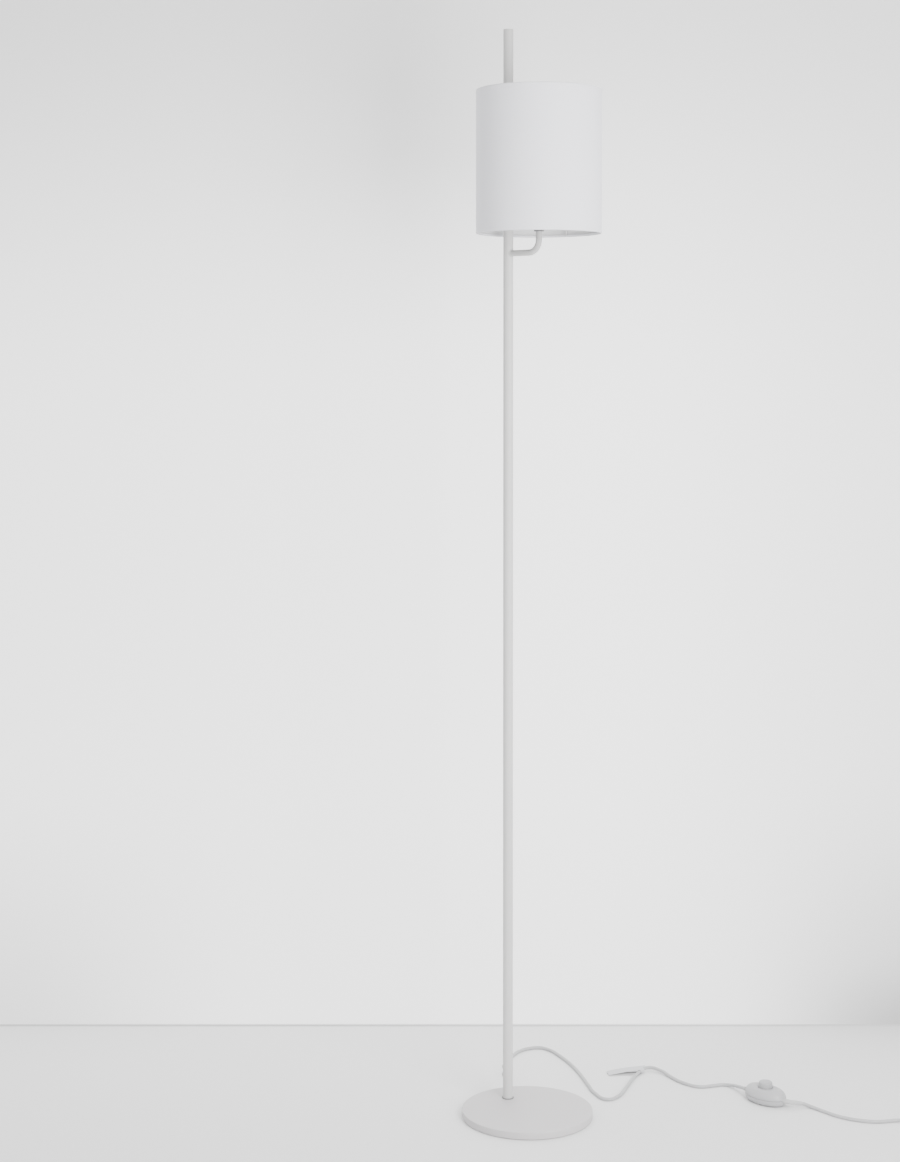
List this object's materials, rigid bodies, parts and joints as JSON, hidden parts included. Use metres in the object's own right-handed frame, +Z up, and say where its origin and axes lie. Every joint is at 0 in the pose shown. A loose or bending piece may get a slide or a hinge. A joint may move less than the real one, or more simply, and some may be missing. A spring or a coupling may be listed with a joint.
{
  "type": "column floor lamp",
  "caption": "Slim floor lamp with a round flat base, an off-centre pole passing inside a drum shade, a bent arm for the lamp holder, and a cord with foot switch and plug.",
  "frame": {"origin": "centre of the base's underside, on the floor", "axes": "+Z up along the pole, -Y towards the viewer of the picture, +X to the right, where the cord lies"},
  "size_m": [0.801, 0.4269, 1.735],
  "materials": {
    "stand_paint": "matte off-white powder coat",
    "pad_foam": "thin dark foam pad",
    "zinc_steel": "zinc-plated steel",
    "foot_gasket": "thin grey ring",
    "holder_plastic": "white moulded plastic",
    "ceramic": "glazed ceramic",
    "brass_contact": "plain brass",
    "bulb_metal": "rolled aluminium cap",
    "bulb_plastic": "white moulded plastic",
    "bulb_opal": "opal plastic",
    "wire_paint": "white painted wire",
    "shade_lining": "smooth white lining film",
    "shade_textile": "plain off-white woven textile",
    "hem_tape": "rolled textile tape",
    "cord_sheath": "smooth white sheath",
    "soft_plastic": "soft white plastic",
    "tag_paper": "blank coated paper",
    "switch_plastic": "satin white moulded plastic",
    "button_plastic": "satin white moulded plastic",
    "block_plastic": "tan moulded resin",
    "foot_rubber": "grey rubber",
    "plug_plastic": "white moulded plastic",
    "pin_metal": "nickel-plated brass"
  },
  "bodies": {
    "lamp": {"base_plate": "stand_paint", "base_pad": "pad_foam", "base_bolt": "zinc_steel", "base_washer": "zinc_steel", "foot_insert": "zinc_steel", "foot_ring": "foot_gasket", "pole_lower": "stand_paint", "pole_second": "stand_paint", "pole_third": "stand_paint", "pole_upper": "stand_paint", "pole_joint_low": "zinc_steel", "pole_joint_mid": "zinc_steel", "pole_joint_high": "zinc_steel", "pole_cap": "stand_paint", "arm": "stand_paint", "arm_weld": "stand_paint", "arm_locknut": "zinc_steel", "holder_cap": "holder_plastic", "holder_shell": "holder_plastic", "holder_insulator": "ceramic", "holder_sleeve": "brass_contact", "holder_contact": "brass_contact", "clamp_ring_lower": "holder_plastic", "clamp_ring_upper": "holder_plastic", "bulb_cap": "bulb_metal", "bulb_eyelet": "brass_contact", "bulb_housing": "bulb_plastic", "bulb_globe": "bulb_opal", "shade_spider": "wire_paint", "shade_bottom_ring": "wire_paint", "shade_top_ring": "wire_paint", "shade_liner": "shade_lining", "shade_fabric": "shade_textile", "shade_seam": "shade_textile", "hem_bottom": "hem_tape", "hem_top": "hem_tape", "inner_cable": "cord_sheath", "cord_bushing": "soft_plastic", "cord_relief": "soft_plastic", "cord_lamp_run": "cord_sheath", "cord_tag": "tag_paper", "switch_base": "switch_plastic", "switch_cover": "switch_plastic", "switch_spring": "zinc_steel", "switch_block": "block_plastic", "switch_terminals": "brass_contact", "switch_screws": "zinc_steel", "switch_feet": "foot_rubber", "switch_relief_in": "soft_plastic", "switch_relief_out": "soft_plastic", "cord_plug_run": "cord_sheath", "cord_coil": "cord_sheath", "cord_tail": "cord_sheath", "plug_relief": "soft_plastic", "plug_body": "plug_plastic", "plug_pins": "pin_metal"},
    "switch_button": {"switch_button": "button_plastic"}
  },
  "joints": [
    {"name": "switch_press", "type": "slide", "parent": "lamp", "child": "switch_button", "axis": [0, 0, -1], "range_m": [0, 0.004], "stiffness_N_per_m": 400, "springref_m": -0.001, "deforming": ["switch_spring"]}
  ]
}
